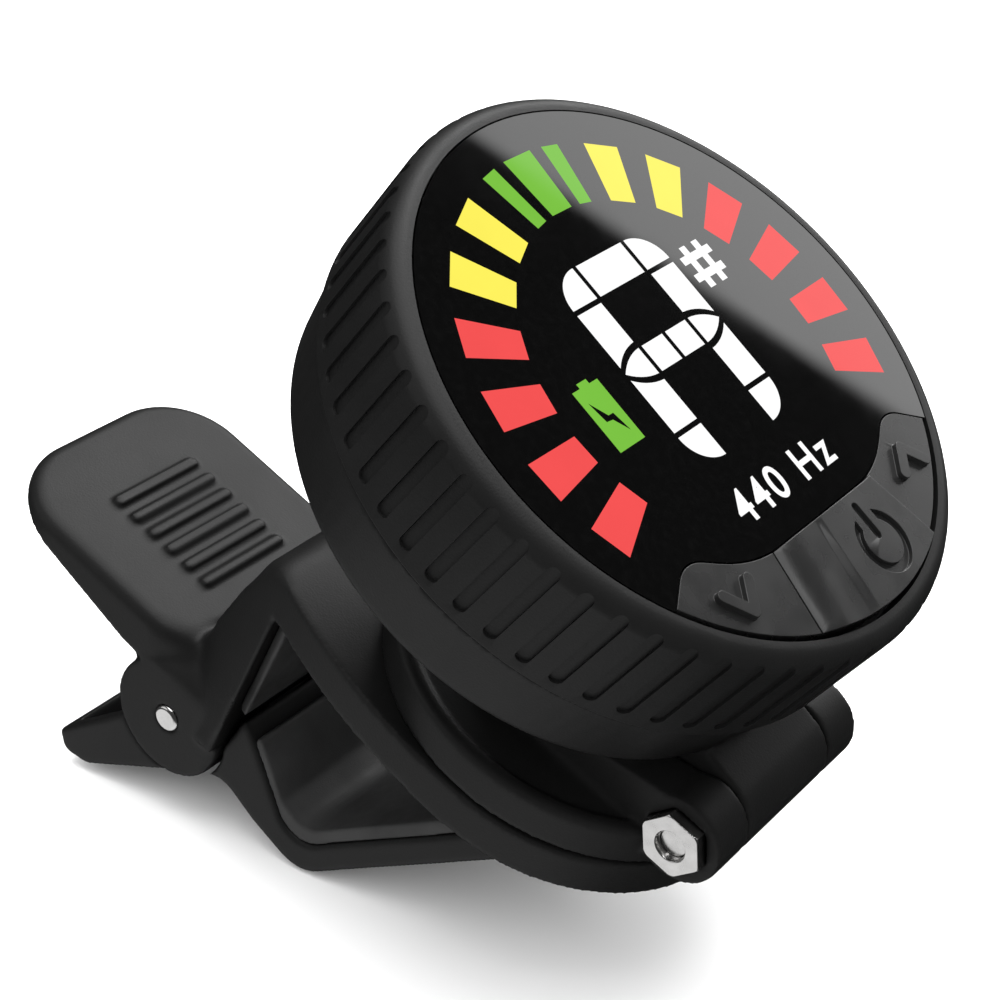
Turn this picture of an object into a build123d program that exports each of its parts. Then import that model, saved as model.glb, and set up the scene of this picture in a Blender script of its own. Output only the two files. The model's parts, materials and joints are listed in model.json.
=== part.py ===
from build123d import *
import math
import os

# Clip-on tuner: a round display head, tilting on a hinge that stands on a swivel
# platform, which turns on the upper jaw of a sprung clip. Millimetres.
#
# Row frame: +Z up, +X from the thumb lever towards the head's hinge, Y along the
# hinge pins. The origin is the middle of the upper pad's gripping face.

# ---- driving dimensions -------------------------------------------------------
CLIP_TILT = 26.0          # gripping face against the horizontal, degrees
HEAD_OPEN = 13.2          # head against the swivel platform as stored, degrees
JAW_CLOSED = 53.0         # lower jaw's floor against the gripping face, closed

LENS_R = 19.5             # display lens
LENS_T = 1.0
POCKET_R = LENS_R + 0.12
HOUSING_R = 21.2          # grip band
GRIP_DEPTH = 9.2          # front housing, lens plane to its lower edge
BACK_R = 20.0             # back cover's flat back
HEAD_DEPTH = 15.5         # lens plane to the flat back
SHELL_R = 18.9            # inside of the front housing
SCREW_CIRCLE = 17.1
GROOVES = 56
GROOVE_W = 0.95
GROOVE_DEPTH = 0.22
GROOVE_TOP = -0.6
GROOVE_FOOT = -8.3
LIP = 1.35                # rounding of the rim round the lens
DECK_TOP = -2.0           # shelf under the keys
DECK_T = 1.2

KEY_R = 19.25
KEY_T = 1.5
KEY_TRAVEL = 0.4
KEY_GAP = 0.08
POWER_RISE = 0.65         # power key's top above the arrow keys
RAMP_RISE = 0.45          # how much of that its long left slope takes
RAMP_RUN = 2.8
ARROW_W = 0.8
ARROW_RISE = 0.42

DISPLAY_RIGHT = -0.13     # printed display's centre line
DIAL_UP = -0.25
DIAL_IN_R = 12.62
DIAL_OUT_R = 17.2
WINDOW_T = 0.3

HINGE_DOWN = 22.65        # lens centre to the hinge axis, down the face
HINGE_BACK = 18.35        # lens plane to the hinge axis
HINGE_R = 3.2
HINGE_HALF = 9.03
KNUCKLE_HALF = 5.2
SIDE_GAP = 0.16
BOLT_R = 1.0
RUN_FIT = 0.05            # radial clearance of a turning fit
NUT_FLATS = 4.1
NUT_T = 1.6
NUT_PROUD = 0.8

PLATFORM_R = 14.55
PLATFORM_H = 3.2
PLATFORM_HINGE_X = 12.92  # swivel axis to the hinge axis
PLATFORM_HINGE_Z = 4.33   # platform's underside to the hinge axis
SEAM = 0.3                # gap between the platform and the clip's disc
DISC_T = 3.3
POST_R = 4.5

PAD_T = 1.2
LEVER_HALF = 10.14
LEVER_END_X = -44.74
LEVER_TOP_Z = -9.3
LEG_TOP_X = -18.2         # the leg's inner face where it meets the arm
LEG_FOOT_X = -18.6        # and at its foot
LEG_FOOT_Z = -15.1
PIVOT_X = -23.44
PIVOT_Z = -16.59
LUG_R = 4.95
LUG_IN = 6.5              # inner face of the upper jaw's lugs
NECK_HALF = 9.4
PIN_R = 1.1
EAR_R = 4.2
EAR_IN = 3.9
EAR_OUT = 6.2
JAW_HALF = 9.75
COIL_R = 2.6
WIRE_R = 0.45
COILS = 5
SPRING_HALF = 3.0

# heights in the clip frame, whose zero is the gripping face
DISC_BOTTOM = PAD_T
DISC_TOP = DISC_BOTTOM + DISC_T
PLATFORM_Z = DISC_TOP + SEAM
HINGE_Z = PLATFORM_Z + PLATFORM_HINGE_Z

# ---- frames -------------------------------------------------------------------
CLIP = Rot(0, CLIP_TILT, 0)
HINGE = CLIP * Pos(PLATFORM_HINGE_X, 0, HINGE_Z) * Rot(0, HEAD_OPEN, 0)
HEAD = HINGE * Pos(-HINGE_DOWN, 0, HINGE_BACK)
LOWER = CLIP * Pos(PIVOT_X, 0, PIVOT_Z) * Rot(0, -JAW_CLOSED, 0)
FACE = Plane(origin=(0, 0, 0), x_dir=(0, 1, 0), z_dir=(0, 0, 1))   # x right, y up the display


# ---- shape helpers ------------------------------------------------------------
def closed(corners, plane):
    """A face from (a, b, fillet radius) corners."""
    points = [(a, b) for a, b, _ in corners]
    radii = [r for _, _, r in corners]
    return plane * make_face(FilletPolyline(*points, radius=radii, close=True))


def side_view(*corners):
    """An outline seen from the side, in X and Z."""
    return closed(corners, Plane.XZ)


def on_display(*corners):
    """An outline on the lens plane, in display right and up."""
    return closed(corners, FACE)


def across(face, y0, y1):
    """A side view made solid from y0 to y1."""
    return Pos(0, y1, 0) * extrude(face, y1 - y0)


def both_sides(solid):
    return solid + mirror(solid, Plane.XZ)


def axle(radius, y0, y1, x=0.0, z=0.0):
    return Pos(x, (y0 + y1) / 2, z) * Rot(90, 0, 0) * Cylinder(radius, y1 - y0)


def disc(radius, z0, z1, x=0.0, y=0.0):
    return Pos(x, y, (z0 + z1) / 2) * Cylinder(radius, z1 - z0)


def block(x0, x1, y0, y1, z0, z1):
    return Pos((x0 + x1) / 2, (y0 + y1) / 2, (z0 + z1) / 2) * Box(x1 - x0, y1 - y0, z1 - z0)


def turned(*corners):
    """A solid of revolution about Z from (radius, z, fillet radius) corners."""
    return revolve(side_view(*corners), Axis.Z)


def group(solids):
    """Separate solids kept as one node."""
    return Compound(children=[s for solid in solids for s in solid.solids()])


def plate(face, z0, z1):
    """A display outline made solid between two depths."""
    return Pos(0, 0, z0) * extrude(face, z1 - z0, dir=(0, 0, 1))


# ---- display outlines ---------------------------------------------------------
def keypad_outline(gap=0.0):
    """The keypad's bay: a flat run with a raised shoulder at each end, open to the rim."""
    shoulder = [(7.6, -12.38, 10.0), (12.35, -9.52, 2.3), (16.6, -12.37, 0.0), (24, -30, 0.0)]
    left = [(-a, b, r) for a, b, r in shoulder]
    face = on_display(*shoulder, *reversed(left))
    return Pos(gap, 0, 0) * face


def lens_face(radius, gap=0.0):
    return Circle(radius) - keypad_outline(-gap)


def dial_window(angle, half_width):
    """One window of the cents dial; angles from the top, clockwise."""
    a0, a1 = (math.radians(90 - angle + k * half_width) for k in (1, -1))
    rim = [(r * math.cos(a), r * math.sin(a), 0) for r, a in (
        (DIAL_IN_R, a0), (DIAL_OUT_R, a0), (DIAL_OUT_R, a1), (DIAL_IN_R, a1))]
    return on_display(*[(DISPLAY_RIGHT + a, DIAL_UP + b, r) for a, b, r in rim])


def dial_windows(places):
    return [dial_window(side * angle, half) for angle, half in places for side in (1, -1)]


STEP = 17.0
WINDOW_HALF = 4.65
GREEN_PLACES = [(11.0, 2.5)]
YELLOW_PLACES = [(STEP * k + 9.0, WINDOW_HALF) for k in (1, 2)]
RED_PLACES = [(STEP * k + 9.0, WINDOW_HALF) for k in (3, 4, 5, 6)]


def green_faces():
    return [dial_window(0, 4.7)] + dial_windows(GREEN_PLACES)


def stroke_box(a0, a1, b0, b1):
    return on_display((a0, b0, 0), (a1, b0, 0), (a1, b1, 0), (a0, b1, 0))


LETTER_IN = 2.86          # the strokes' inner and outer edges from the letter's centre line
LETTER_OUT = 5.44
LETTER_TOP = 8.78
LETTER_FOOT = -6.02
WAIST = 1.38              # middle of the crossbar
BAR_HALF = 1.0
SEGMENT_GAP = 0.36


def waist_arc(up, offset):
    """The curve round a crossbar's end, moved out from the crossbar; up is 1 or -1."""
    inner = (LETTER_IN, WAIST + up * (BAR_HALF + offset))
    outer = (LETTER_OUT, WAIST + up * offset)
    middle = (4.15, WAIST + up * (0.74 + offset))
    return ThreePointArc(inner, middle, outer)


def column(up, end):
    """An upright stroke from the waist's curve to a square end."""
    curve = waist_arc(up, SEGMENT_GAP + 0.12)
    sides = Polyline(curve @ 1, (LETTER_OUT, end), (LETTER_IN, end), curve @ 0)
    return make_face(curve + sides)


def quarter(end, up):
    """A rounded corner of the letter, beyond a square end."""
    reach = LETTER_OUT - LETTER_IN
    size = Rectangle(reach, 4, align=(Align.MIN, Align.MIN if up > 0 else Align.MAX))
    return Pos(LETTER_IN, end) * (Ellipse(reach, reach * 0.94) & size)


def letter_half():
    """The right half of the letter A, in segments like those of a calculator's figures."""
    corner_at = LETTER_TOP - 0.94 * (LETTER_OUT - LETTER_IN)
    foot_at = LETTER_FOOT + 0.94 * (LETTER_OUT - LETTER_IN)
    cap = make_face(waist_arc(1, 0) + waist_arc(-1, 0) + Line(
        (LETTER_IN, WAIST - BAR_HALF), (LETTER_IN, WAIST + BAR_HALF)))
    bar_end = LETTER_IN - SEGMENT_GAP
    bar = Pos(SEGMENT_GAP / 2, WAIST) * Rectangle(
        bar_end - SEGMENT_GAP / 2, 2 * BAR_HALF, align=(Align.MIN, Align.CENTER))
    return [quarter(corner_at, 1), column(1, corner_at - SEGMENT_GAP), cap, bar,
            column(-1, foot_at + SEGMENT_GAP), quarter(foot_at, -1)]


def letter_faces():
    half = letter_half()
    other = [mirror(face, Plane.YZ) for face in half]
    top = Pos(0, LETTER_TOP - 1.22) * Rectangle(2 * (LETTER_IN - SEGMENT_GAP), 2.44)
    return [FACE * Pos(DISPLAY_RIGHT, 0) * face for face in [*half, *other, top]]


def sharp_face():
    strokes = [stroke_box(a, a + 0.64, 3.27, 6.57) for a in (6.7, 8.12)]
    strokes += [stroke_box(6.06, 9.4, b, b + 0.6) for b in (3.93, 5.34)]
    return strokes[0] + strokes[1] + strokes[2] + strokes[3]


def battery_face():
    body = stroke_box(-10.5, -7.87, -2.42, 2.1) + stroke_box(-9.69, -8.7, 2.0, 2.44)
    bolt = on_display(
        (-9.95, 1.1, 0), (-9.2, -0.15, 0), (-8.72, -0.16, 0),
        (-8.44, -1.6, 0), (-9.13, -0.51, 0), (-9.7, -0.44, 0))
    return body - bolt


def inlay(faces):
    """Coloured windows let into the lens, flush with its front."""
    return group([plate(face, -WINDOW_T, 0) for face in faces])


# ---- head: front --------------------------------------------------------------
def housing_shell():
    """The rim, grip band and the shelf behind the lens."""
    shell = disc(HOUSING_R, -GRIP_DEPTH, 0)
    shell = fillet(shell.edges().group_by(Axis.Z)[-1], LIP)
    shell = fillet(shell.edges().group_by(Axis.Z)[0], 0.15)
    shell -= disc(SHELL_R, -GRIP_DEPTH - 1, DECK_TOP - DECK_T)
    shell -= disc(POCKET_R, -LENS_T, 1)
    shell -= plate(Circle(POCKET_R) & keypad_outline(), DECK_TOP, 1)
    return shell - plate(lens_face(17.8, 0.8), -5, 1)


def grip_grooves():
    """The flat grooves round the grip band, rounded at their ends."""
    floor = Plane(origin=(HOUSING_R - GROOVE_DEPTH, 0, (GROOVE_TOP + GROOVE_FOOT) / 2),
                  x_dir=(0, 0, 1), z_dir=(1, 0, 0))
    groove = extrude(floor * SlotOverall(GROOVE_TOP - GROOVE_FOOT, GROOVE_W), 2)
    return [Rot(0, 0, 360 / GROOVES * (k + 0.5)) * groove for k in range(GROOVES)]


def front_housing():
    stems = [disc(1.8, -5, 0, *place) for place in key_places()]
    bosses = [disc(2.0, -GRIP_DEPTH, -3.7, *place) for place in screw_places()]
    holes = [disc(0.85, -GRIP_DEPTH - 1, -4.2, *place) for place in screw_places()]
    return housing_shell() - stems + bosses - holes - grip_grooves()


def display_lens():
    blank = plate(lens_face(LENS_R), -LENS_T, 0)
    windows = [*green_faces(), *dial_windows(YELLOW_PLACES), *dial_windows(RED_PLACES),
               *letter_faces(), sharp_face(), battery_face()]
    return blank - [plate(face, -WINDOW_T, 1) for face in windows]


def key_places():
    """Key centres in the head's X and Y: down, power, up."""
    return [(13.2, -10.3), (16.0, 0.9), (13.2, 10.3)]


def key_blank(top=0.0):
    bay = Circle(KEY_R) & Pos(0.12, 0, 0) * keypad_outline()
    return plate(bay, -KEY_T, top)


def key_stem(place):
    return disc(1.4, -KEY_T - 2.2, -KEY_T + 0.2, *place)


# where each arrow key ends, display right at two heights up the display
DOWN_SPLIT = ((-4.8, -9), (-7.45, -21))
UP_SPLIT = ((5.7, -9), (8.35, -21))


def beyond(split, side, shift):
    """Everything on one side of a split line; side is -1 for left and 1 for right."""
    (top, high), (rim, low) = split
    return plate(on_display((top + shift, high, 0), (rim + shift, low, 0),
                            (side * 40, low, 0), (side * 40, high, 0)), -9, 9)


def stroke(start, end, width):
    """A round-ended stroke between two points of the display."""
    run = math.dist(start, end)
    turn = math.degrees(math.atan2(end[1] - start[1], end[0] - start[0]))
    middle = Pos((start[0] + end[0]) / 2, (start[1] + end[1]) / 2)
    return FACE * middle * Rot(0, 0, turn) * SlotOverall(run + width, width)


def arrow(left, tip, right):
    """A raised arrow head of two strokes."""
    return plate(stroke(left, tip, ARROW_W) + stroke(tip, right, ARROW_W), -0.3, ARROW_RISE)


def key_down():
    cap = key_blank() & beyond(DOWN_SPLIT, -1, -KEY_GAP / 2)
    mark = arrow((-12.0, -12.7), (-10.65, -14.5), (-9.25, -12.75))
    return cap + key_stem(key_places()[0]) + mark


def key_up():
    cap = key_blank() & beyond(UP_SPLIT, 1, KEY_GAP / 2)
    mark = arrow((9.4, -13.75), (10.8, -12.25), (12.1, -13.85))
    return cap + key_stem(key_places()[2]) + mark


def power_section(up, left, foot, step, brow, right):
    """The power key's cross-section: a long soft rise, a small step, a flat and a short fall."""
    rise = Spline((left, 0), (left + RAMP_RUN, RAMP_RISE), tangents=((1, 0.5), (1, 0)))
    rest = Polyline(
        (left + RAMP_RUN, RAMP_RISE), (foot, RAMP_RISE), (step, POWER_RISE), (brow, POWER_RISE),
        (right, 0), (right, -KEY_T), (left, -KEY_T), (left, 0))
    upright = Plane(origin=(-up, 0, 0), x_dir=(0, 1, 0), z_dir=(1, 0, 0))
    return upright * make_face(rise + rest)


def power_cap():
    """The power key's body, which widens towards the rim."""
    half_gap = KEY_GAP / 2
    near = power_section(-9, DOWN_SPLIT[0][0] + half_gap, -0.3, 0.0, 5.0, UP_SPLIT[0][0] - half_gap)
    far = power_section(-21, DOWN_SPLIT[1][0] + half_gap, -3.1, -2.1, 8.1, UP_SPLIT[1][0] - half_gap)
    return loft([near, far], ruled=True) & key_blank(POWER_RISE)


def power_symbol():
    """A ring open at the top with a bar through the opening."""
    middle = (2.7, -16.15)
    ring = Circle(2.25) - Circle(1.6) - Pos(0, 1.8) * Rectangle(1.9, 2.4)
    bar = stroke((2.66, -13.45), (2.66, -15.6), 0.6)
    mark = (FACE * Pos(*middle) * ring) + bar
    return plate(mark, POWER_RISE - 0.35, POWER_RISE + 1)


def key_power():
    return power_cap() - power_symbol() + key_stem(key_places()[1])


# ---- head: inside -------------------------------------------------------------
BOARD_TOP = -5.6
BOARD_T = 1.0
PORT_Z = -11.6


def display_module():
    return plate(lens_face(17.4, 1.2), -3.6, -LENS_T - 0.05)


def key_switch(place):
    x, y = place
    body = block(x - 1.1, x + 1.1, y - 1.1, y + 1.1, BOARD_TOP, BOARD_TOP + 1.0)
    return body + disc(0.7, BOARD_TOP + 0.9, BOARD_TOP + 1.4, x, y)


def circuit_board():
    board = disc(18.3, BOARD_TOP - BOARD_T, BOARD_TOP)
    chips = [block(-9, -3, -4, 2, BOARD_TOP - 1, BOARD_TOP + 0.9),
             block(-2, 2, 5, 9, BOARD_TOP - 1, BOARD_TOP + 0.8)]
    notches = [disc(2.15, -9, -4, *place) for place in screw_places()]
    return board + chips - notches


def battery_cell():
    cell = block(-9, 9, -12, 10, -12.2, -7.4)
    return fillet(cell.edges().filter_by(Axis.Y), 1.0)


def piezo_disc():
    return disc(6.0, -13.85, -13.6, 7.0, 0) + disc(4.5, -13.6, -13.4, 7.0, 0)


def flat_oval(width, height, x0, x1):
    """A flat oval bar along X, in the middle of the charging port."""
    outline = Plane(origin=(x0, 0, PORT_Z), x_dir=(0, 1, 0), z_dir=(1, 0, 0))
    return extrude(outline * SlotOverall(width, height), x1 - x0)


def charging_socket():
    """A USB-C receptacle in the side that lies opposite the keys."""
    shell = flat_oval(8.9, 3.2, -19.5, -12.9)
    hollow = flat_oval(8.3, 2.6, -20.4, -14.0)
    tongue = block(-18.6, -13.5, -3.3, 3.3, PORT_Z - 0.35, PORT_Z + 0.35)
    return shell - hollow + tongue


def screw_places():
    """Housing screw centres in the head's X and Y."""
    angles = [math.radians(a) for a in (65, 140, 220, 295)]
    return [(SCREW_CIRCLE * math.cos(a), SCREW_CIRCLE * math.sin(a)) for a in angles]


# ---- head: back ---------------------------------------------------------------
def knuckle():
    """The middle hinge barrel and the web that carries it, about the hinge axis."""
    back = HINGE_BACK - HEAD_DEPTH
    barrel = axle(HINGE_R, -KNUCKLE_HALF, KNUCKLE_HALF)
    web = side_view((-10.5, back + 0.4, 0), (-0.2, back + 0.35, 0), (0, -1.2, 0),
                    (-3.2, -0.35, 1), (-9.2, 1.6, 1.5))
    bore = axle(BOLT_R + RUN_FIT, -KNUCKLE_HALF - 1, KNUCKLE_HALF + 1)
    return barrel + across(web, -KNUCKLE_HALF, KNUCKLE_HALF) - bore


def cover_cup():
    """The tapered cup behind the grip band, with a lip that enters the front housing."""
    lip_in = SHELL_R - 0.9
    lip_out = SHELL_R - 0.1
    rim = -GRIP_DEPTH - 0.1
    return turned(
        (0, -HEAD_DEPTH, 0), (BACK_R, -HEAD_DEPTH, 0.9), (HOUSING_R - 0.25, rim, 0),
        (lip_out, rim, 0), (lip_out, rim + 1.1, 0), (lip_in, rim + 1.1, 0),
        (lip_in, -HEAD_DEPTH + 1.5, 0.8), (0, -HEAD_DEPTH + 1.5, 0))


def back_cover():
    hinge = Pos(HINGE_DOWN, 0, -HINGE_BACK) * knuckle()
    posts = [disc(2.4, -HEAD_DEPTH + 0.5, -GRIP_DEPTH - 0.1, *place) for place in screw_places()]
    shafts = [disc(1.15, -HEAD_DEPTH - 1, 0, *place) for place in screw_places()]
    heads = [disc(1.95, -HEAD_DEPTH - 1, -HEAD_DEPTH + 1.6, *place) for place in screw_places()]
    notches = [disc(2.15, -GRIP_DEPTH - 0.1, 0, *place) for place in screw_places()]
    port = flat_oval(9.1, 3.4, -23, -15)
    return cover_cup() + hinge + posts - notches - shafts - heads - port


def housing_screw(place):
    x, y = place
    head = disc(1.8, -HEAD_DEPTH + 0.3, -HEAD_DEPTH + 1.6, x, y)
    shank = disc(0.8, -HEAD_DEPTH + 1.5, -4.6, x, y)
    drive = Pos(x, y, -HEAD_DEPTH + 0.3) * (Box(2.2, 0.5, 1.0) + Box(0.5, 2.2, 1.0))
    return head + shank - drive


# ---- swivel (platform's underside at zero) --------------------------------------
RETAINER_TOP = -SEAM - 2.0


def swivel_platform():
    """The puck, its post through the clip's disc, and the two hinge ears."""
    floor = PLATFORM_H - PLATFORM_HINGE_Z
    puck = disc(PLATFORM_R, 0, PLATFORM_H)
    puck = fillet(puck.edges().group_by(Axis.Z)[-1], 0.45)
    dish = disc(PLATFORM_R - 1.1, PLATFORM_H - 0.35, PLATFORM_H + 1)
    ramp = side_view((1.4, 2.88, 0), (0.5, 3.1, 0), (-17.6, floor, 0), (-17.6, floor - 1.2, 0),
                     (0, floor - 1.2, 0), (1.2, 0, 0))
    ears = across(ramp, -HINGE_HALF, HINGE_HALF) + axle(HINGE_R, -HINGE_HALF, HINGE_HALF)
    ears = Pos(PLATFORM_HINGE_X, 0, PLATFORM_HINGE_Z) * ears
    post = disc(POST_R, RETAINER_TOP, 1)
    half = KNUCKLE_HALF + SIDE_GAP
    slot = block(-11.2, 6, -half, half, floor, 6) + axle(HINGE_R + 0.3, -half, half)
    slot = Pos(PLATFORM_HINGE_X, 0, PLATFORM_HINGE_Z) * slot
    bore = axle(BOLT_R + RUN_FIT, -20, 20)
    nut_seat = Pos(0, -HINGE_HALF, 0) * Rot(90, 0, 0) * extrude(
        RegularPolygon(NUT_FLATS / 2 + 0.05, 6, major_radius=False), NUT_T - NUT_PROUD, both=True)
    head_seat = axle(2.0, HINGE_HALF - 1.4, HINGE_HALF + 2)
    cuts = Pos(PLATFORM_HINGE_X, 0, PLATFORM_HINGE_Z) * (bore + nut_seat + head_seat)
    screw_hole = disc(1.25, -5, 1.2)
    return (puck - dish + ears + post) - slot - cuts - screw_hole


def hinge_bolt():
    shank = axle(BOLT_R, -HINGE_HALF - NUT_PROUD + 0.5, HINGE_HALF - 1.3)
    head = axle(1.9, HINGE_HALF - 1.4, HINGE_HALF - 0.2)
    socket = Pos(0, HINGE_HALF - 0.2, 0) * Rot(90, 0, 0) * extrude(
        RegularPolygon(0.75, 6, major_radius=False), 0.8, both=True)
    return shank + head - socket


def hinge_nut():
    blank = Rot(90, 0, 0) * extrude(RegularPolygon(NUT_FLATS / 2, 6, major_radius=False), NUT_T)
    blank = Pos(0, -HINGE_HALF - NUT_PROUD + NUT_T, 0) * blank
    outer = -HINGE_HALF - NUT_PROUD
    corner_r = NUT_FLATS / 2 / math.cos(math.radians(30))
    cone = Pos(0, outer, 0) * Rot(-90, 0, 0) * Pos(0, 0, 1.5) * Cone(
        corner_r - 0.16, corner_r - 0.16 + 5.2, 3.0)
    hole = axle(BOLT_R + RUN_FIT, -20, 20)
    sink = Pos(0, outer, 0) * Rot(-90, 0, 0) * Cone(1.35, 0.95, 0.8)
    return (blank & cone) - hole - sink


def friction_washers():
    """The thin washers between the knuckle and each ear."""
    ring = axle(2.2, KNUCKLE_HALF + 0.02, KNUCKLE_HALF + SIDE_GAP - 0.02)
    ring -= axle(BOLT_R + RUN_FIT, 0, 9)
    return group([ring, mirror(ring, Plane.XZ)])


def swivel_washer():
    z0 = -SEAM + 0.05
    return disc(9.0, z0, -0.05) - disc(POST_R + 0.2, -2, 2)


def retaining_washer():
    return disc(6.6, RETAINER_TOP - 0.6, RETAINER_TOP) - disc(1.3, -9, 2)


def swivel_screw():
    head = disc(2.4, RETAINER_TOP - 1.2, RETAINER_TOP - 0.6)
    drive = Pos(0, 0, RETAINER_TOP - 1.2) * (Box(3.0, 0.6, 0.7) + Box(0.6, 3.0, 0.7))
    return head + disc(1.2, RETAINER_TOP - 0.7, 0.9) - drive


# ---- upper jaw ----------------------------------------------------------------
def arm_plan():
    """The arm from above: a tail that widens in a long curve into the round disc."""
    start, tail_half, mid_half = -27.0, 6.6, 12.9
    side = ThreePointArc((start, -tail_half), (start / 2, -mid_half), (0, -PLATFORM_R - 0.05))
    rim = ThreePointArc((0, -PLATFORM_R - 0.05), (PLATFORM_R + 0.05, 0), (0, PLATFORM_R + 0.05))
    back = ThreePointArc((0, PLATFORM_R + 0.05), (start / 2, mid_half), (start, tail_half))
    return make_face(side + rim + back + Line((start, tail_half), (start, -tail_half)))


def arm():
    """The leg that rises from the pivot and the plate that ends in the disc."""
    section = side_view(
        (-24.3, LEVER_TOP_Z - 3.6, 0), (-24.3, LEVER_TOP_Z, 2.2), (-20.9, DISC_TOP, 2.4),
        (20, DISC_TOP, 0), (20, DISC_BOTTOM, 0), (LEG_TOP_X, DISC_BOTTOM, 0.9),
        (LEG_FOOT_X, LEG_FOOT_Z, 0), (-22.0, PIVOT_Z, 0))
    return across(section, -20, 20) & extrude(arm_plan(), 40, both=True)


def lever_plan():
    """The thumb plate from above: round at its end, drawn in towards the leg."""
    side = [(LEVER_END_X, LEVER_HALF, 6.4), (-26.5, LEVER_HALF, 3.0), (-20.9, 7.3, 0)]
    return closed([*side, *[(x, -y, r) for x, y, r in reversed(side)]], Plane.XY)


def lever():
    """The thumb plate, which thickens towards the pivot."""
    section = side_view(
        (LEVER_END_X, LEVER_TOP_Z - 1.15, 0), (LEVER_END_X, LEVER_TOP_Z, 0),
        (-24.9, LEVER_TOP_Z, 0), (-21.0, -12.4, 0), (-21.4, -13.9, 0), (-29.6, -13.4, 0))
    body = across(section, -LEVER_HALF, LEVER_HALF) & extrude(lever_plan(), 60, both=True)
    return fillet(body.edges().group_by(Axis.Z)[-1], 1.0)


def lugs():
    """The two round lugs that hold the pivot pin, and the slimmer neck up to the lever."""
    neck = side_view(
        (PIVOT_X - 4.6, PIVOT_Z + 1.7, 0), (-29.3, -13.5, 1.2), (-29.6, -12.0, 0),
        (-27.2, -10.7, 0), (-22.5, -11.2, 0), (-19.9, -13.8, 0), (PIVOT_X, PIVOT_Z, 0))
    side = axle(LUG_R, LUG_IN, LEVER_HALF, PIVOT_X, PIVOT_Z) + across(neck, LUG_IN, NECK_HALF)
    return both_sides(side)


def grip_ribs():
    """Raised bars across the thumb plate."""
    bar = Pos(0, 0, LEVER_TOP_Z) * extrude(SlotOverall(9.0, 0.9).rotate(Axis.Z, 90), 0.45)
    return [Pos(-37.5 + 1.9 * k, 0, 0) * bar for k in range(6)]


def upper_jaw():
    body = arm() + lever() + lugs()
    room = axle(EAR_R + 0.55, -LUG_IN, LUG_IN, PIVOT_X, PIVOT_Z)
    room += block(-21, -17, -LUG_IN, LUG_IN, PIVOT_Z - 2, -13.4)
    pin_hole = axle(PIN_R, -20, 20, PIVOT_X, PIVOT_Z)
    post_hole = disc(POST_R + RUN_FIT, -5, 9)
    recess = disc(7.2, DISC_BOTTOM - 1, DISC_TOP - 1.9)
    spring_seat = block(-33.5, -25, -4.4, 0, -16, -12.4)
    return body + grip_ribs() - room - pin_hole - post_hole - recess - spring_seat


def upper_pad():
    """Rubber under the disc and down the inside of the leg."""
    foot = -10.1
    lean = (LEG_FOOT_X - LEG_TOP_X) / (DISC_BOTTOM - LEG_FOOT_Z)
    back = LEG_TOP_X + lean * (DISC_BOTTOM - foot)
    section = side_view(
        (LEG_TOP_X, PAD_T, 0.9), (15, PAD_T, 0), (15, 0, 0), (LEG_TOP_X + 0.9, 0, 0),
        (back + 0.9, foot, 0.35), (back, foot, 0.35))
    plan = offset(arm_plan(), -1.2)
    return across(section, -20, 20) & extrude(plan, 40, both=True)


def pivot_pin():
    pin = axle(PIN_R, -LEVER_HALF - 0.15, LEVER_HALF + 0.15)
    return fillet(pin.edges().filter_by(GeomType.CIRCLE), 0.3)


# ---- lower jaw (floor along X, pivot at the origin) -----------------------------
FLOOR_BOTTOM = -13.8
FLOOR_TOP = -11.65
PAD_TOP = -10.5
TIP_CLEAR = 0.15


def above_grip():
    """Everything that would reach past the closed gripping face."""
    face = LOWER.inverse() * CLIP * Pos(0, 0, -TIP_CLEAR)
    return face * block(-60, 60, -30, 30, 0, 60)


def jaw_ear():
    """One ear round the pivot pin, with the stem that carries it."""
    limit = side_view((-4, -4.6, 0), (4.0, -6.4, 0), (5.2, -3.4, 0), (2.5, 3.0, 0), (-2, 3.4, 0))
    stem = side_view((-4, -4.6, 0), (4.2, -6.2, 0), (5.0, -2.6, 0), (0, 0, 0), (-4, -2, 0))
    whole = axle(EAR_R, EAR_IN, EAR_OUT) + across(stem, EAR_IN, EAR_OUT)
    return across(limit, EAR_IN, EAR_OUT) & whole


def jaw_bridge():
    """The bar under the spring that joins the two ears."""
    section = side_view(
        (-6, -3.4, 0), (-5, -5.1, 0), (3.4, -6.6, 0), (5.6, -3.8, 0), (3.6, -3.6, 0),
        (2.6, -4.6, 0), (-2.8, -3.9, 0), (-5.0, -2.2, 0))
    return across(section, -EAR_OUT, EAR_OUT)


def lower_jaw():
    outline = side_view(
        (34, FLOOR_BOTTOM, 0), (6.4, FLOOR_BOTTOM, 3.4), (4.0, -9.2, 2.0), (2.6, -5.4, 2.2),
        (-3.0, -4.3, 3.0), (-12.6, -2.95, 1.6), (-14.6, -1.4, 1.0), (-13.9, 0.3, 0.5),
        (-5.0, 0.75, 0), (0, 0, 0), (2.8, -3.9, 0), (7.2, -1.5, 0.3), (8.0, -1.3, 0.3),
        (7.1, -9.0, 0), (7.1, FLOOR_TOP, 2.6), (34, FLOOR_TOP, 0))
    lug_room = both_sides(axle(LUG_R + 0.3, EAR_OUT + 0.05, 20))
    inside = axle(LUG_R + 0.3, -EAR_OUT - 0.1, EAR_OUT + 0.1)
    tray = block(-12.8, -5.4, -JAW_HALF + 1.35, JAW_HALF - 1.35, -1.9, 3)
    core = across(outline, -JAW_HALF, JAW_HALF) - inside - lug_room - tray
    body = core + both_sides(jaw_ear()) + jaw_bridge() - axle(3.5, -EAR_IN, EAR_IN)
    wire_slot = [Pos(0, 0, lift) * tail_wire(WIRE_R + 0.1) for lift in (0, 0.8, 1.6)]
    return body - wire_slot - axle(PIN_R + RUN_FIT, -9, 9) - above_grip()


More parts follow.
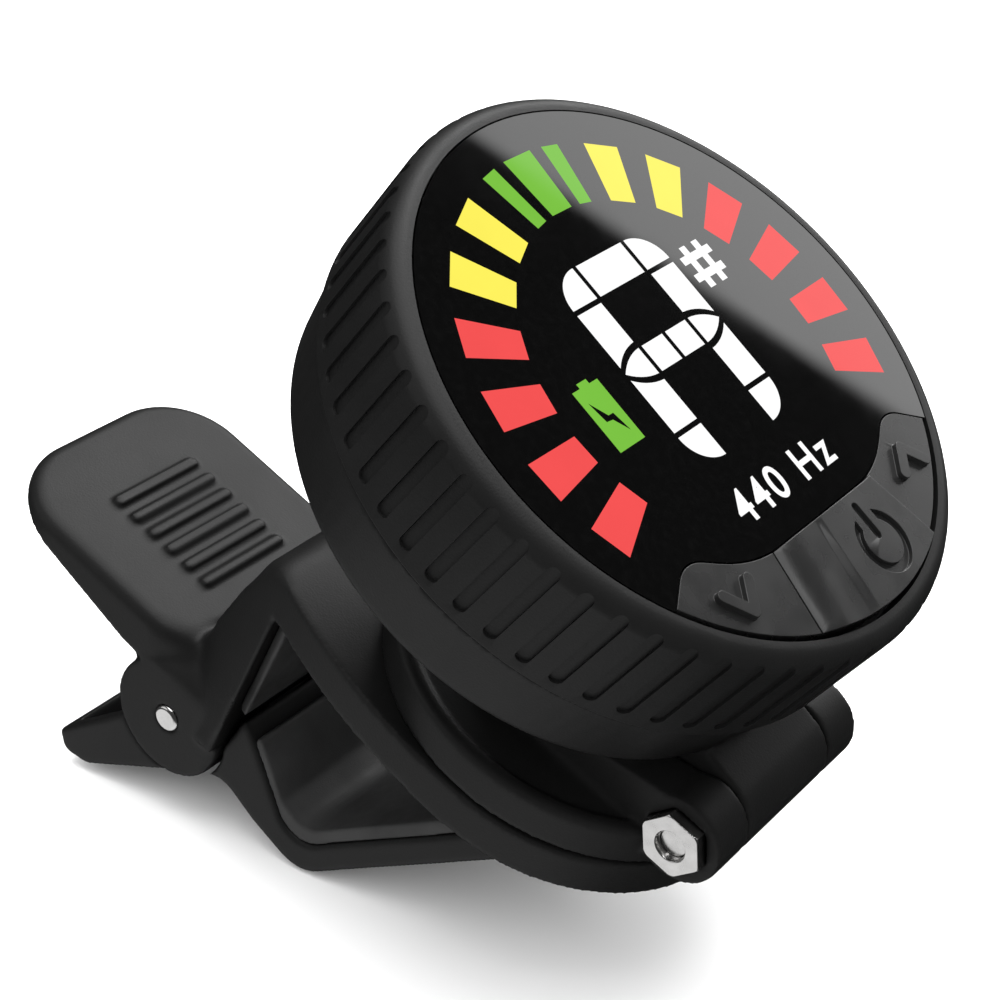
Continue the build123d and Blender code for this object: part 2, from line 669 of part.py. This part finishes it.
def lower_pad():
    outline = side_view(
        (34, FLOOR_TOP, 0), (7.1, FLOOR_TOP, 2.6), (7.1, -9.0, 0), (7.85, -3.0, 0),
        (8.7, -2.6, 0.3), (8.0, -8.0, 0.4), (9.0, PAD_TOP, 1.8), (34, PAD_TOP, 0))
    return across(outline, -JAW_HALF + 0.15, JAW_HALF - 0.15) - above_grip()


def wire(start, end, y, radius=WIRE_R):
    """A straight round wire between two points of the side view."""
    run = math.hypot(end[0] - start[0], end[1] - start[1])
    turn = 90 - math.degrees(math.atan2(end[1] - start[1], end[0] - start[0]))
    return Pos(start[0], y, start[1]) * Rot(0, turn, 0) * Pos(0, 0, run / 2) * Cylinder(radius, run)


def tail_wire(radius=WIRE_R):
    """The spring's leg in the lower jaw's tail, in the lower jaw's frame."""
    return wire((0.3, -COIL_R), (-9.5, -1.4), SPRING_HALF, radius)


def torsion_spring():
    """Coils round the pivot pin, one leg under the lever and one in the lower jaw's tail."""
    turns = COILS + (90 + 90 - JAW_CLOSED) / 360
    centre = Helix(pitch=2 * SPRING_HALF / turns, height=2 * SPRING_HALF, radius=COIL_R)
    section = Plane(origin=centre @ 0, z_dir=centre % 0) * Circle(WIRE_R)
    coil = Pos(0, -SPRING_HALF, 0) * Rot(0, -90, 0) * Rot(-90, 0, 0) * sweep(section, centre)
    lever_leg = wire((0.3, COIL_R), (-9.5, 3.4), -SPRING_HALF)
    return coil + lever_leg + Rot(0, -JAW_CLOSED, 0) * tail_wire()


NODES = {
    "front_housing": (HEAD, front_housing),
    "display_lens": (HEAD, display_lens),
    "green_windows": (HEAD, lambda: inlay(green_faces())),
    "yellow_windows": (HEAD, lambda: inlay(dial_windows(YELLOW_PLACES))),
    "red_windows": (HEAD, lambda: inlay(dial_windows(RED_PLACES))),
    "note_windows": (HEAD, lambda: inlay(letter_faces())),
    "sharp_window": (HEAD, lambda: inlay([sharp_face()])),
    "battery_window": (HEAD, lambda: inlay([battery_face()])),
    "key_down": (HEAD, key_down),
    "key_power": (HEAD, key_power),
    "key_up": (HEAD, key_up),
    "display_module": (HEAD, display_module),
    "key_switches": (HEAD, lambda: group([key_switch(place) for place in key_places()])),
    "circuit_board": (HEAD, circuit_board),
    "battery_cell": (HEAD, battery_cell),
    "piezo_disc": (HEAD, piezo_disc),
    "charging_socket": (HEAD, charging_socket),
    "back_cover": (HEAD, back_cover),
    "housing_screws": (HEAD, lambda: group([housing_screw(place) for place in screw_places()])),
    "swivel_platform": (CLIP * Pos(0, 0, PLATFORM_Z), swivel_platform),
    "hinge_bolt": (CLIP * Pos(PLATFORM_HINGE_X, 0, HINGE_Z), hinge_bolt),
    "hinge_nut": (CLIP * Pos(PLATFORM_HINGE_X, 0, HINGE_Z), hinge_nut),
    "friction_washers": (CLIP * Pos(PLATFORM_HINGE_X, 0, HINGE_Z), friction_washers),
    "swivel_washer": (CLIP * Pos(0, 0, PLATFORM_Z), swivel_washer),
    "retaining_washer": (CLIP * Pos(0, 0, PLATFORM_Z), retaining_washer),
    "swivel_screw": (CLIP * Pos(0, 0, PLATFORM_Z), swivel_screw),
    "upper_jaw": (CLIP, upper_jaw),
    "upper_pad": (CLIP, upper_pad),
    "pivot_pin": (CLIP * Pos(PIVOT_X, 0, PIVOT_Z), pivot_pin),
    "torsion_spring": (CLIP * Pos(PIVOT_X, 0, PIVOT_Z), torsion_spring),
    "lower_jaw": (LOWER, lower_jaw),
    "lower_pad": (LOWER, lower_pad),
}

if __name__ == "__main__":
    os.makedirs("parts", exist_ok=True)
    for name, (frame, make) in NODES.items():
        export_step(frame * make(), f"parts/{name}.step")
        print(name)
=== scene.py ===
import json
import math

import bpy
from mathutils import Matrix, Vector

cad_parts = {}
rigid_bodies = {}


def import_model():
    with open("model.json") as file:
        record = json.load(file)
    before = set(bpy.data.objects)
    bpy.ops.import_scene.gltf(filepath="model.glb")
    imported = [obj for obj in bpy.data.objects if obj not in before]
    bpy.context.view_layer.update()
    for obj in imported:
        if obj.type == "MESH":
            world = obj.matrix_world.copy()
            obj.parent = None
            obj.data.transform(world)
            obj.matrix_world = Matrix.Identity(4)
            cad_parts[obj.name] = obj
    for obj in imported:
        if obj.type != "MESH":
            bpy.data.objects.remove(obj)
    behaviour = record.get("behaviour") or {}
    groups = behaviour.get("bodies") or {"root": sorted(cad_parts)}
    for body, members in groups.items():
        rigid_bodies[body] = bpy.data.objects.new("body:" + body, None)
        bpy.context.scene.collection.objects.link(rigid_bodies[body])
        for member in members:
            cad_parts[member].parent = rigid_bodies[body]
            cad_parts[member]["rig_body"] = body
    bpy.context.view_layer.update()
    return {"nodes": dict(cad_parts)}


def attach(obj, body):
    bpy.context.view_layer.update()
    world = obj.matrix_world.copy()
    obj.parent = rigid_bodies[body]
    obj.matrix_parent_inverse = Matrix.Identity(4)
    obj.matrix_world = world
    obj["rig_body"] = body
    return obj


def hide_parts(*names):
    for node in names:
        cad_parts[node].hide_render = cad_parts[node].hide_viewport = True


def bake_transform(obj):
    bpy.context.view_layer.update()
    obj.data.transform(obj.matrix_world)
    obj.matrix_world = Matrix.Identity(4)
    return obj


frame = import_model()

MM = 0.001

# ---- frames, as in the CAD model -------------------------------------------------
CLIP_TILT = math.radians(26.0)
HEAD_TILT = math.radians(39.2)
HEAD_CENTRE = Vector((9.66, 0.0, 31.078)) * MM      # middle of the lens's front

HEAD = Matrix.Translation(HEAD_CENTRE) @ Matrix.Rotation(HEAD_TILT, 4, "Y")
CLIP = Matrix.Rotation(CLIP_TILT, 4, "Y")

# ---- camera and stage, in metres -----------------------------------------------------
CAMERA_AIM = Vector((-3.2, -2.2, 18.3)) * MM
CAMERA_AZIMUTH = math.radians(35.9)
CAMERA_ELEVATION = math.radians(27.9)
CAMERA_DISTANCE = 0.150
CAMERA_LENS = 80.7          # mm
CAMERA_SENSOR = 36          # mm
CAMERA_NEAR = 0.005
CAMERA_FAR = 20

FLOOR_Z = -0.01375          # just under the lower jaw
FLOOR_SIZE = 6

# the surround's strength for matt surfaces and for glossy ones
SOFT_WORLD = 1.35
DARK_WORLD = 0.04

# name: (place, point it faces, (width, height), watts)
PANELS = {
    "overhead": ((0.04, 0.05, 0.60), (0, 0, 0), (0.6, 0.6), 4.8),
    "left_front": ((-0.45, -0.45, 0.30), (0, 0, 0.01), (0.5, 0.4), 0.5),
    "top_back": ((-0.05, 0.355, 0.35), (0, 0, 0.01), (0.18, 0.18), 0.8),
}

# The lens mirrors the lens card's edge along this line, display right and up in mm.
GLARE_LINE = ((-3.3, 19.4), (11.8, -10.0))
INSIDE_GLARE = (12, 12)     # a place on the glare's side of the line
LENS_CARD_DISTANCE = 0.5
LENS_CARD_SIZE = 0.5
LENS_CARD_GLOW = 2.9
LENS_CARD_FADE = 0.006

# The nut and the pivot pin mirror the steel card.
STEEL_CARD_PLACE = (-0.065, -0.16, -0.07)
STEEL_CARD_WIDTH = 0.20
STEEL_CARD_HEIGHT = 0.14
STEEL_CARD_GLOW = 0.85
STEEL_CARD_FADE = 0.06

# ---- the print under the note, in mm --------------------------------------------------
PITCH_TEXT = "440 Hz"
PITCH_PLACE = (-0.15, -9.35)        # display right and up
PITCH_SIZE = 3.2
PITCH_BOLDER = 0.05                 # added around every letter
PITCH_SPACING = 1.22
PITCH_THICK = 0.004
PITCH_LIFT = 0.006                  # above the lens


def display_place(right, up, above=0.0):
    """A point on the lens, from its middle, in mm."""
    return HEAD @ (Vector((-up, right, above)) * MM)


def camera_back():
    """The direction from the point aimed at to the camera."""
    return Vector((math.sin(CAMERA_AZIMUTH) * math.cos(CAMERA_ELEVATION),
                   -math.cos(CAMERA_AZIMUTH) * math.cos(CAMERA_ELEVATION),
                   math.sin(CAMERA_ELEVATION)))


def mirrored(right, up):
    """Where the camera's line of sight goes after it meets that point of the lens."""
    point = display_place(right, up)
    normal = HEAD.to_3x3() @ Vector((0, 0, 1))
    camera = CAMERA_AIM + camera_back() * CAMERA_DISTANCE
    sight = (point - camera).normalized()
    bounce = sight - 2 * sight.dot(normal) * normal
    return point + bounce * LENS_CARD_DISTANCE


# ---- node helpers ------------------------------------------------------------------
# most of a noise texture's values lie between these
NOISE_LOW = 0.3
NOISE_HIGH = 0.7


class Material:
    """A principled material that is put together node by node."""

    def __init__(self, name, colour, roughness, **settings):
        self.material = bpy.data.materials.new(name)
        self.material.use_nodes = True
        self.tree = self.material.node_tree
        self.shader = self.tree.nodes["Principled BSDF"]
        self.shader.inputs["Base Color"].default_value = (*colour, 1)
        self.shader.inputs["Roughness"].default_value = roughness
        for socket, value in settings.items():
            self.shader.inputs[socket.replace("_", " ")].default_value = value
        self.coords = self.tree.nodes.new("ShaderNodeTexCoord").outputs["Object"]

    def link(self, output, socket):
        self.tree.links.new(output, socket)

    def noise(self, size_mm, detail, stretch=(1, 1, 1)):
        """Noise with features of that size, in the object's own space."""
        mapping = self.tree.nodes.new("ShaderNodeMapping")
        mapping.inputs["Scale"].default_value = stretch
        self.link(self.coords, mapping.inputs["Vector"])
        noise = self.tree.nodes.new("ShaderNodeTexNoise")
        noise.inputs["Scale"].default_value = 1 / (size_mm * MM)
        noise.inputs["Detail"].default_value = detail
        self.link(mapping.outputs["Vector"], noise.inputs["Vector"])
        return noise.outputs["Fac"]

    def colours(self, value, dark, light, start=NOISE_LOW, end=NOISE_HIGH):
        """The base colour moves between two tones as a texture does."""
        ramp = self.tree.nodes.new("ShaderNodeValToRGB")
        ramp.color_ramp.elements[0].position = start
        ramp.color_ramp.elements[0].color = (*dark, 1)
        ramp.color_ramp.elements[1].position = end
        ramp.color_ramp.elements[1].color = (*light, 1)
        self.link(value, ramp.inputs["Fac"])
        self.link(ramp.outputs["Color"], self.shader.inputs["Base Color"])

    def roughness(self, value, low, high):
        """The roughness moves between two values as a texture does."""
        ramp = self.tree.nodes.new("ShaderNodeMapRange")
        ramp.inputs["From Min"].default_value = NOISE_LOW
        ramp.inputs["From Max"].default_value = NOISE_HIGH
        ramp.inputs["To Min"].default_value = low
        ramp.inputs["To Max"].default_value = high
        self.link(value, ramp.inputs["Value"])
        self.link(ramp.outputs["Result"], self.shader.inputs["Roughness"])

    def bump(self, height, depth_mm):
        """Relief that deep; bumps stack in the order they are added."""
        node = self.tree.nodes.new("ShaderNodeBump")
        node.inputs["Distance"].default_value = depth_mm * MM
        self.link(height, node.inputs["Height"])
        previous = self.shader.inputs["Normal"]
        if previous.is_linked:
            self.link(previous.links[0].from_socket, node.inputs["Normal"])
        self.link(node.outputs["Normal"], self.shader.inputs["Normal"])


def grey(level, warmth=0.0):
    return (level * (1 + warmth), level, level * (1 - warmth))


# ---- materials ---------------------------------------------------------------------
def moulded_plastic(name):
    """Black plastic from a finely etched mould."""
    look = Material(name, grey(0.0068), 0.50, Specular_IOR_Level=0.20)
    cloud = look.noise(9.0, 4)
    look.colours(cloud, grey(0.00585), grey(0.00775))
    look.roughness(cloud, 0.46, 0.55)
    look.bump(look.noise(0.16, 2), 0.012)
    look.bump(look.noise(1.6, 3), 0.004)
    return look.material


def pad_rubber():
    """Soft black lining of the jaws, matt and slightly grained."""
    look = Material("pad_rubber", grey(0.02), 0.62, Specular_IOR_Level=0.4)
    look.colours(look.noise(4.0, 4), grey(0.016), grey(0.026))
    look.roughness(look.noise(2.5, 3), 0.54, 0.70)
    look.bump(look.noise(0.12, 2), 0.010)
    return look.material


def key_rubber():
    """Silk gloss keys with a fine tooth."""
    look = Material("key_rubber", grey(0.010), 0.28, Specular_IOR_Level=0.38)
    look.colours(look.noise(5.0, 4), grey(0.008), grey(0.012))
    look.roughness(look.noise(3.0, 3), 0.22, 0.32)
    look.bump(look.noise(0.1, 2), 0.0015)
    return look.material


def gloss_lens():
    """Black backed acrylic, polished, with the faintest waviness and dust."""
    look = Material("gloss_lens", grey(0.0012), 0.03, Specular_IOR_Level=0.5, IOR=1.49)
    dust = look.noise(0.5, 6)
    look.colours(dust, grey(0.0009), grey(0.0018), 0.45, 0.8)
    look.roughness(look.noise(6.0, 4), 0.02, 0.05)
    look.bump(look.noise(14.0, 1), 0.004)
    return look.material


def scaled(colour, factor):
    return tuple(min(1.0, channel * factor) for channel in colour)


def lit_window(name, colour, strength):
    """A backlit area of the display, under the same gloss as the lens."""
    look = Material(name, scaled(colour, 0.05), 0.04, Specular_IOR_Level=0.1,
                    Emission_Strength=strength)
    ramp = look.tree.nodes.new("ShaderNodeValToRGB")
    ramp.color_ramp.elements[0].color = (*scaled(colour, 0.95), 1)
    ramp.color_ramp.elements[1].color = (*scaled(colour, 1.04), 1)
    look.link(look.noise(3.0, 3), ramp.inputs["Fac"])
    look.link(ramp.outputs["Color"], look.shader.inputs["Emission Color"])
    look.roughness(look.noise(6.0, 4), 0.02, 0.05)
    return look.material


def turned_steel():
    """Satin zinc plated steel with fine tool marks."""
    look = Material("turned_steel", grey(0.78), 0.24, Metallic=1.0)
    look.colours(look.noise(1.4, 4), grey(0.74, 0.008), grey(0.82, 0.01))
    look.roughness(look.noise(0.8, 3), 0.20, 0.29)
    look.bump(look.noise(0.2, 2, (1, 5, 1)), 0.002)
    return look.material


def spring_wire():
    """Bare drawn wire, a little oiled."""
    look = Material("spring_wire", grey(0.42), 0.3, Metallic=1.0)
    look.colours(look.noise(0.8, 4), grey(0.34, 0.02), grey(0.5, 0.02))
    look.roughness(look.noise(0.5, 3), 0.22, 0.4)
    look.bump(look.noise(0.08, 2), 0.003)
    return look.material


def disc_brass():
    look = Material("disc_brass", (0.78, 0.55, 0.24), 0.35, Metallic=1.0)
    look.colours(look.noise(1.2, 4), (0.68, 0.47, 0.19), (0.82, 0.60, 0.28))
    look.roughness(look.noise(0.8, 4), 0.25, 0.45)
    look.bump(look.noise(0.3, 2), 0.003)
    return look.material


def solder_mask():
    look = Material("solder_mask", (0.02, 0.16, 0.06), 0.35)
    look.colours(look.noise(0.7, 5), (0.012, 0.12, 0.045), (0.03, 0.22, 0.09))
    look.roughness(look.noise(1.0, 3), 0.28, 0.45)
    look.bump(look.noise(0.3, 2), 0.01)
    return look.material


def pouch_foil():
    """The cell's crinkled aluminium pouch."""
    look = Material("pouch_foil", grey(0.6), 0.32, Metallic=0.8)
    look.colours(look.noise(2.0, 4), grey(0.48), grey(0.68))
    look.roughness(look.noise(1.5, 3), 0.25, 0.42)
    look.bump(look.noise(1.2, 4), 0.05)
    return look.material


def plain_polymer(name, colour, roughness):
    look = Material(name, colour, roughness)
    look.colours(look.noise(2.0, 4), scaled(colour, 0.88), scaled(colour, 1.1))
    look.roughness(look.noise(1.0, 3), roughness - 0.06, roughness + 0.06)
    look.bump(look.noise(0.2, 2), 0.004)
    return look.material


RED = (0.885, 0.086, 0.086)
YELLOW = (0.97, 0.86, 0.11)
GREEN = (0.195, 0.535, 0.056)
WHITE = (0.96, 0.96, 0.96)
BAR_GLOW = 0.92
NOTE_GLOW = 0.97


def dress_nodes():
    """Gives every CAD node its material."""
    clip = moulded_plastic("clip_plastic")
    head = moulded_plastic("head_plastic")
    steel = turned_steel()
    wear = plain_polymer("washer_polymer", grey(0.7), 0.4)
    green = lit_window("green_light", GREEN, BAR_GLOW)
    keys = key_rubber()
    rubber = pad_rubber()
    looks = {
        "upper_jaw": clip, "lower_jaw": clip, "swivel_platform": clip,
        "front_housing": head, "back_cover": head,
        "upper_pad": rubber, "lower_pad": rubber,
        "display_lens": gloss_lens(),
        "green_windows": green, "battery_window": green,
        "yellow_windows": lit_window("yellow_light", YELLOW, BAR_GLOW),
        "red_windows": lit_window("red_light", RED, BAR_GLOW),
        "note_windows": lit_window("white_light", WHITE, NOTE_GLOW),
        "sharp_window": lit_window("sharp_light", WHITE, NOTE_GLOW),
        "key_down": keys, "key_power": keys, "key_up": keys,
        "hinge_nut": steel, "hinge_bolt": steel, "pivot_pin": steel, "swivel_screw": steel,
        "housing_screws": steel, "retaining_washer": steel, "charging_socket": steel,
        "torsion_spring": spring_wire(),
        "friction_washers": wear, "swivel_washer": wear,
        "piezo_disc": disc_brass(), "circuit_board": solder_mask(), "battery_cell": pouch_foil(),
        "display_module": plain_polymer("module_polymer", grey(0.12), 0.5),
        "key_switches": plain_polymer("switch_polymer", grey(0.07), 0.45),
    }
    for name, obj in frame["nodes"].items():
        obj.data.materials.clear()
        obj.data.materials.append(looks[name])


# ---- moulded and edged pieces --------------------------------------------------------
# node: (voxel in mm, smoothing passes). More passes give larger moulded radii.
MOULDED = {
    "upper_jaw": (0.18, 7),
    "lower_jaw": (0.20, 7),
    "swivel_platform": (0.18, 6),
    "back_cover": (0.22, 3),
    "upper_pad": (0.20, 6),
    "lower_pad": (0.20, 8),
}
# Where neighbouring faces flow into each other, on both sides of the middle:
# (node, centre in the clip's frame in mm, reach in mm, passes).
ARCH_CREST = [("upper_jaw", (-20.2, side, 2.5), 3.8, 200) for side in (8.8, 5.2, 1.8)]
BLENDS = [
    ("upper_jaw", (-24.4, 9.2, -9.6), 3.6, 160),
    ("upper_jaw", (-22.0, 9.6, -12.0), 2.6, 80),
    ("upper_jaw", (-19.6, 9.7, -13.9), 2.2, 50),
    ("upper_jaw", (-18.6, 9.7, -16.6), 2.0, 50),
    *ARCH_CREST,
    ("swivel_platform", (4.5, 8.6, 8.0), 5.0, 50),
]
SMOOTHING_FACTOR = 0.5

# node: edge radius in mm
EDGED = {
    "front_housing": 0.12,
    "key_down": 0.045,
    "key_power": 0.045,
    "key_up": 0.045,
    "hinge_nut": 0.05,
    "hinge_bolt": 0.06,
    "pivot_pin": 0.05,
}
SAME_POINT = 1e-6                   # metres
SAME_FACE = math.radians(0.5)
EDGE_ANGLE = math.radians(30)       # only bends sharper than this get a radius
EDGE_SEGMENTS = 3


def evaluated_mesh(obj):
    """The object's mesh with its modifiers worked out."""
    graph = bpy.context.evaluated_depsgraph_get()
    return bpy.data.meshes.new_from_object(obj.evaluated_get(graph), depsgraph=graph)


def take_modifiers(obj):
    """Makes the modifiers' result the object's own mesh."""
    mesh = evaluated_mesh(obj)
    obj.modifiers.clear()
    obj.data = mesh


def add_smoothing(obj, passes, group=""):
    smoothing = obj.modifiers.new("smoothing", "SMOOTH")
    smoothing.factor = SMOOTHING_FACTOR
    smoothing.iterations = passes
    smoothing.vertex_group = group


def add_blend_group(obj, centre, reach_mm):
    """A vertex group that fades out around a point of the clip's frame."""
    group = obj.vertex_groups.new(name=f"blend_{len(obj.vertex_groups)}")
    middle = CLIP @ (Vector(centre) * MM)
    for vertex in obj.data.vertices:
        far = (vertex.co - middle).length / (reach_mm * MM)
        if far < 1:
            group.add([vertex.index], 1 - far * far, "REPLACE")
    return group.name


def stand_in(node, prefix):
    """A copy of a CAD node's mesh, shown in the node's place."""
    source = frame["nodes"][node]
    piece = bpy.data.objects.new(f"{prefix}_{node}", source.data.copy())
    bpy.context.scene.collection.objects.link(piece)
    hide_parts(node)
    return piece


def ride_as(piece, node):
    """The piece moves with the node's body."""
    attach(piece, frame["nodes"][node]["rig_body"])


def moulded(node, voxel_mm, passes):
    """The CAD solid as it comes from the mould, with every edge and corner rounded."""
    piece = stand_in(node, "moulded")
    look = piece.data.materials[0]
    skin = piece.modifiers.new("skin", "REMESH")
    skin.mode = "VOXEL"
    skin.voxel_size = voxel_mm * MM
    skin.use_smooth_shade = True
    take_modifiers(piece)
    add_smoothing(piece, passes)
    for owner, (x, y, z), reach, blend_passes in BLENDS:
        if owner == node:
            for place in ((x, y, z), (x, -y, z)):
                add_smoothing(piece, blend_passes, add_blend_group(piece, place, reach))
    take_modifiers(piece)
    piece.data.materials.clear()
    piece.data.materials.append(look)
    ride_as(piece, node)


def edged(node, radius_mm):
    """The CAD solid with a small radius along every edge. Its flats become whole faces first."""
    piece = stand_in(node, "edged")
    piece.data.polygons.foreach_set("use_smooth", [True] * len(piece.data.polygons))
    weld = piece.modifiers.new("weld", "WELD")
    weld.merge_threshold = SAME_POINT
    flats = piece.modifiers.new("flats", "DECIMATE")
    flats.decimate_type = "DISSOLVE"
    flats.angle_limit = SAME_FACE
    bevel = piece.modifiers.new("edges", "BEVEL")
    bevel.width = radius_mm * MM
    bevel.segments = EDGE_SEGMENTS
    bevel.limit_method = "ANGLE"
    bevel.angle_limit = EDGE_ANGLE
    normals = piece.modifiers.new("normals", "WEIGHTED_NORMAL")
    normals.keep_sharp = False
    ride_as(piece, node)


def wound_spring():
    """A copy of the spring's mesh in the spring's place, with its placement baked into the mesh."""
    spring = stand_in("torsion_spring", "wound")
    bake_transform(spring)


def finish_edges():
    """Replaces the nodes that the camera sees up close."""
    for node, (voxel_mm, passes) in MOULDED.items():
        moulded(node, voxel_mm, passes)
    for node, radius_mm in EDGED.items():
        edged(node, radius_mm)


# ---- print on the lens -----------------------------------------------------------------
def add_pitch_mark():
    """The reference pitch, printed under the note."""
    curve = bpy.data.curves.new("pitch_mark", "FONT")
    curve.body = PITCH_TEXT
    curve.size = PITCH_SIZE * MM
    curve.align_x = "CENTER"
    curve.align_y = "CENTER"
    curve.extrude = PITCH_THICK * MM
    curve.offset = PITCH_BOLDER * MM
    curve.space_character = PITCH_SPACING
    letters = bpy.data.objects.new("pitch_mark", curve)
    bpy.context.scene.collection.objects.link(letters)
    mesh = evaluated_mesh(letters)
    bpy.data.objects.remove(letters)
    piece = bpy.data.objects.new("pitch_mark", mesh)
    bpy.context.scene.collection.objects.link(piece)
    turn = Matrix.Rotation(HEAD_TILT, 4, "Y") @ Matrix.Rotation(math.radians(90), 4, "Z")
    piece.data.transform(Matrix.Translation(display_place(*PITCH_PLACE, PITCH_LIFT)) @ turn)
    piece.data.materials.clear()
    piece.data.materials.append(frame["nodes"]["note_windows"].data.materials[0])
    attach(piece, "head")


# ---- stage ---------------------------------------------------------------------------
def add_camera():
    data = bpy.data.cameras.new("camera")
    data.lens = CAMERA_LENS
    data.sensor_width = CAMERA_SENSOR
    data.clip_start = CAMERA_NEAR
    data.clip_end = CAMERA_FAR
    camera = bpy.data.objects.new("camera", data)
    bpy.context.scene.collection.objects.link(camera)
    back = camera_back()
    camera.location = CAMERA_AIM + back * CAMERA_DISTANCE
    camera.rotation_euler = (-back).to_track_quat("-Z", "Y").to_euler()
    bpy.context.scene.camera = camera


def add_floor():
    """White paper that glossy surfaces don't mirror."""
    bpy.ops.mesh.primitive_plane_add(size=FLOOR_SIZE, location=(0, 0, FLOOR_Z))
    floor = bpy.context.object
    floor.name = "floor"
    look = Material("paper_floor", grey(0.92), 0.9, Specular_IOR_Level=0.1)
    look.colours(look.noise(40.0, 3), grey(0.91), grey(0.93))
    floor.data.materials.append(look.material)
    floor.visible_glossy = False


def add_panel(name, place, aim, size, watts):
    """A soft rectangular light that faces a point."""
    data = bpy.data.lights.new(name, "AREA")
    data.shape = "RECTANGLE"
    data.size, data.size_y = size
    data.energy = watts
    light = bpy.data.objects.new(name, data)
    light.location = place
    light.rotation_euler = (Vector(aim) - Vector(place)).to_track_quat("-Z", "Y").to_euler()
    bpy.context.scene.collection.objects.link(light)


def add_world():
    """A white surround to the camera, a pale one to matt surfaces, a dark one to glossy ones."""
    world = bpy.data.worlds.new("surround")
    world.use_nodes = True
    tree = world.node_tree
    shown = tree.nodes["Background"]
    soft = tree.nodes.new("ShaderNodeBackground")
    dark = tree.nodes.new("ShaderNodeBackground")
    for background, strength in ((shown, 1.0), (soft, SOFT_WORLD), (dark, DARK_WORLD)):
        background.inputs["Color"].default_value = (1, 1, 1, 1)
        background.inputs["Strength"].default_value = strength
    by_gloss = tree.nodes.new("ShaderNodeMixShader")
    by_camera = tree.nodes.new("ShaderNodeMixShader")
    path = tree.nodes.new("ShaderNodeLightPath")
    tree.links.new(path.outputs["Is Glossy Ray"], by_gloss.inputs["Fac"])
    tree.links.new(soft.outputs["Background"], by_gloss.inputs[1])
    tree.links.new(dark.outputs["Background"], by_gloss.inputs[2])
    tree.links.new(path.outputs["Is Camera Ray"], by_camera.inputs["Fac"])
    tree.links.new(by_gloss.outputs["Shader"], by_camera.inputs[1])
    tree.links.new(shown.outputs["Background"], by_camera.inputs[2])
    tree.links.new(by_camera.outputs["Shader"], tree.nodes["World Output"].inputs["Surface"])
    bpy.context.scene.world = world


def card_material(name, glow, fade):
    """Emission that rises from nothing along the card's own Y."""
    material = bpy.data.materials.new(name)
    material.use_nodes = True
    tree = material.node_tree
    tree.nodes.clear()
    coords = tree.nodes.new("ShaderNodeTexCoord")
    split = tree.nodes.new("ShaderNodeSeparateXYZ")
    rise = tree.nodes.new("ShaderNodeMapRange")
    rise.interpolation_type = "SMOOTHSTEP"
    rise.inputs["From Min"].default_value = 0
    rise.inputs["From Max"].default_value = fade
    rise.inputs["To Min"].default_value = 0
    rise.inputs["To Max"].default_value = glow
    light = tree.nodes.new("ShaderNodeEmission")
    output = tree.nodes.new("ShaderNodeOutputMaterial")
    tree.links.new(coords.outputs["Object"], split.inputs["Vector"])
    tree.links.new(split.outputs["Y"], rise.inputs["Value"])
    tree.links.new(rise.outputs["Result"], light.inputs["Strength"])
    tree.links.new(light.outputs["Emission"], output.inputs["Surface"])
    return material


def add_card(name, width, height, place, material):
    """A glowing sheet that only glossy surfaces see; its lower edge is on its own X axis."""
    data = bpy.data.meshes.new(name)
    corners = [(-width / 2, 0, 0), (width / 2, 0, 0), (width / 2, height, 0), (-width / 2, height, 0)]
    data.from_pydata(corners, [], [(0, 1, 2, 3)])
    data.materials.append(material)
    card = bpy.data.objects.new(name, data)
    bpy.context.scene.collection.objects.link(card)
    card.matrix_world = place
    card.visible_camera = False
    card.visible_diffuse = False
    card.visible_shadow = False


def add_lens_card():
    """The window that the lens mirrors: it ends along GLARE_LINE and lies to its upper right."""
    first, last = (mirrored(*place) for place in GLARE_LINE)
    upper_right = mirrored(*INSIDE_GLARE) - mirrored(0, 0)
    edge = (last - first).normalized()
    inward = (upper_right - edge * upper_right.dot(edge)).normalized()
    turn = Matrix((edge, inward, edge.cross(inward))).transposed().to_4x4()
    place = Matrix.Translation((first + last) / 2) @ turn
    add_card("lens_card", LENS_CARD_SIZE, LENS_CARD_SIZE, place,
             card_material("lens_card_light", LENS_CARD_GLOW, LENS_CARD_FADE))


def add_steel_card():
    """A pale sheet below, mirrored by the nut and the pivot pin."""
    add_card("steel_card", STEEL_CARD_WIDTH, STEEL_CARD_HEIGHT, Matrix.Translation(STEEL_CARD_PLACE),
             card_material("steel_card_light", STEEL_CARD_GLOW, STEEL_CARD_FADE))


def add_lights():
    add_lens_card()
    add_steel_card()
    for name, (place, aim, size, watts) in PANELS.items():
        add_panel(name, place, aim, size, watts)


dress_nodes()
finish_edges()
wound_spring()
add_pitch_mark()
add_camera()
add_floor()
add_world()
add_lights()
bpy.context.scene.view_settings.view_transform = "Standard"
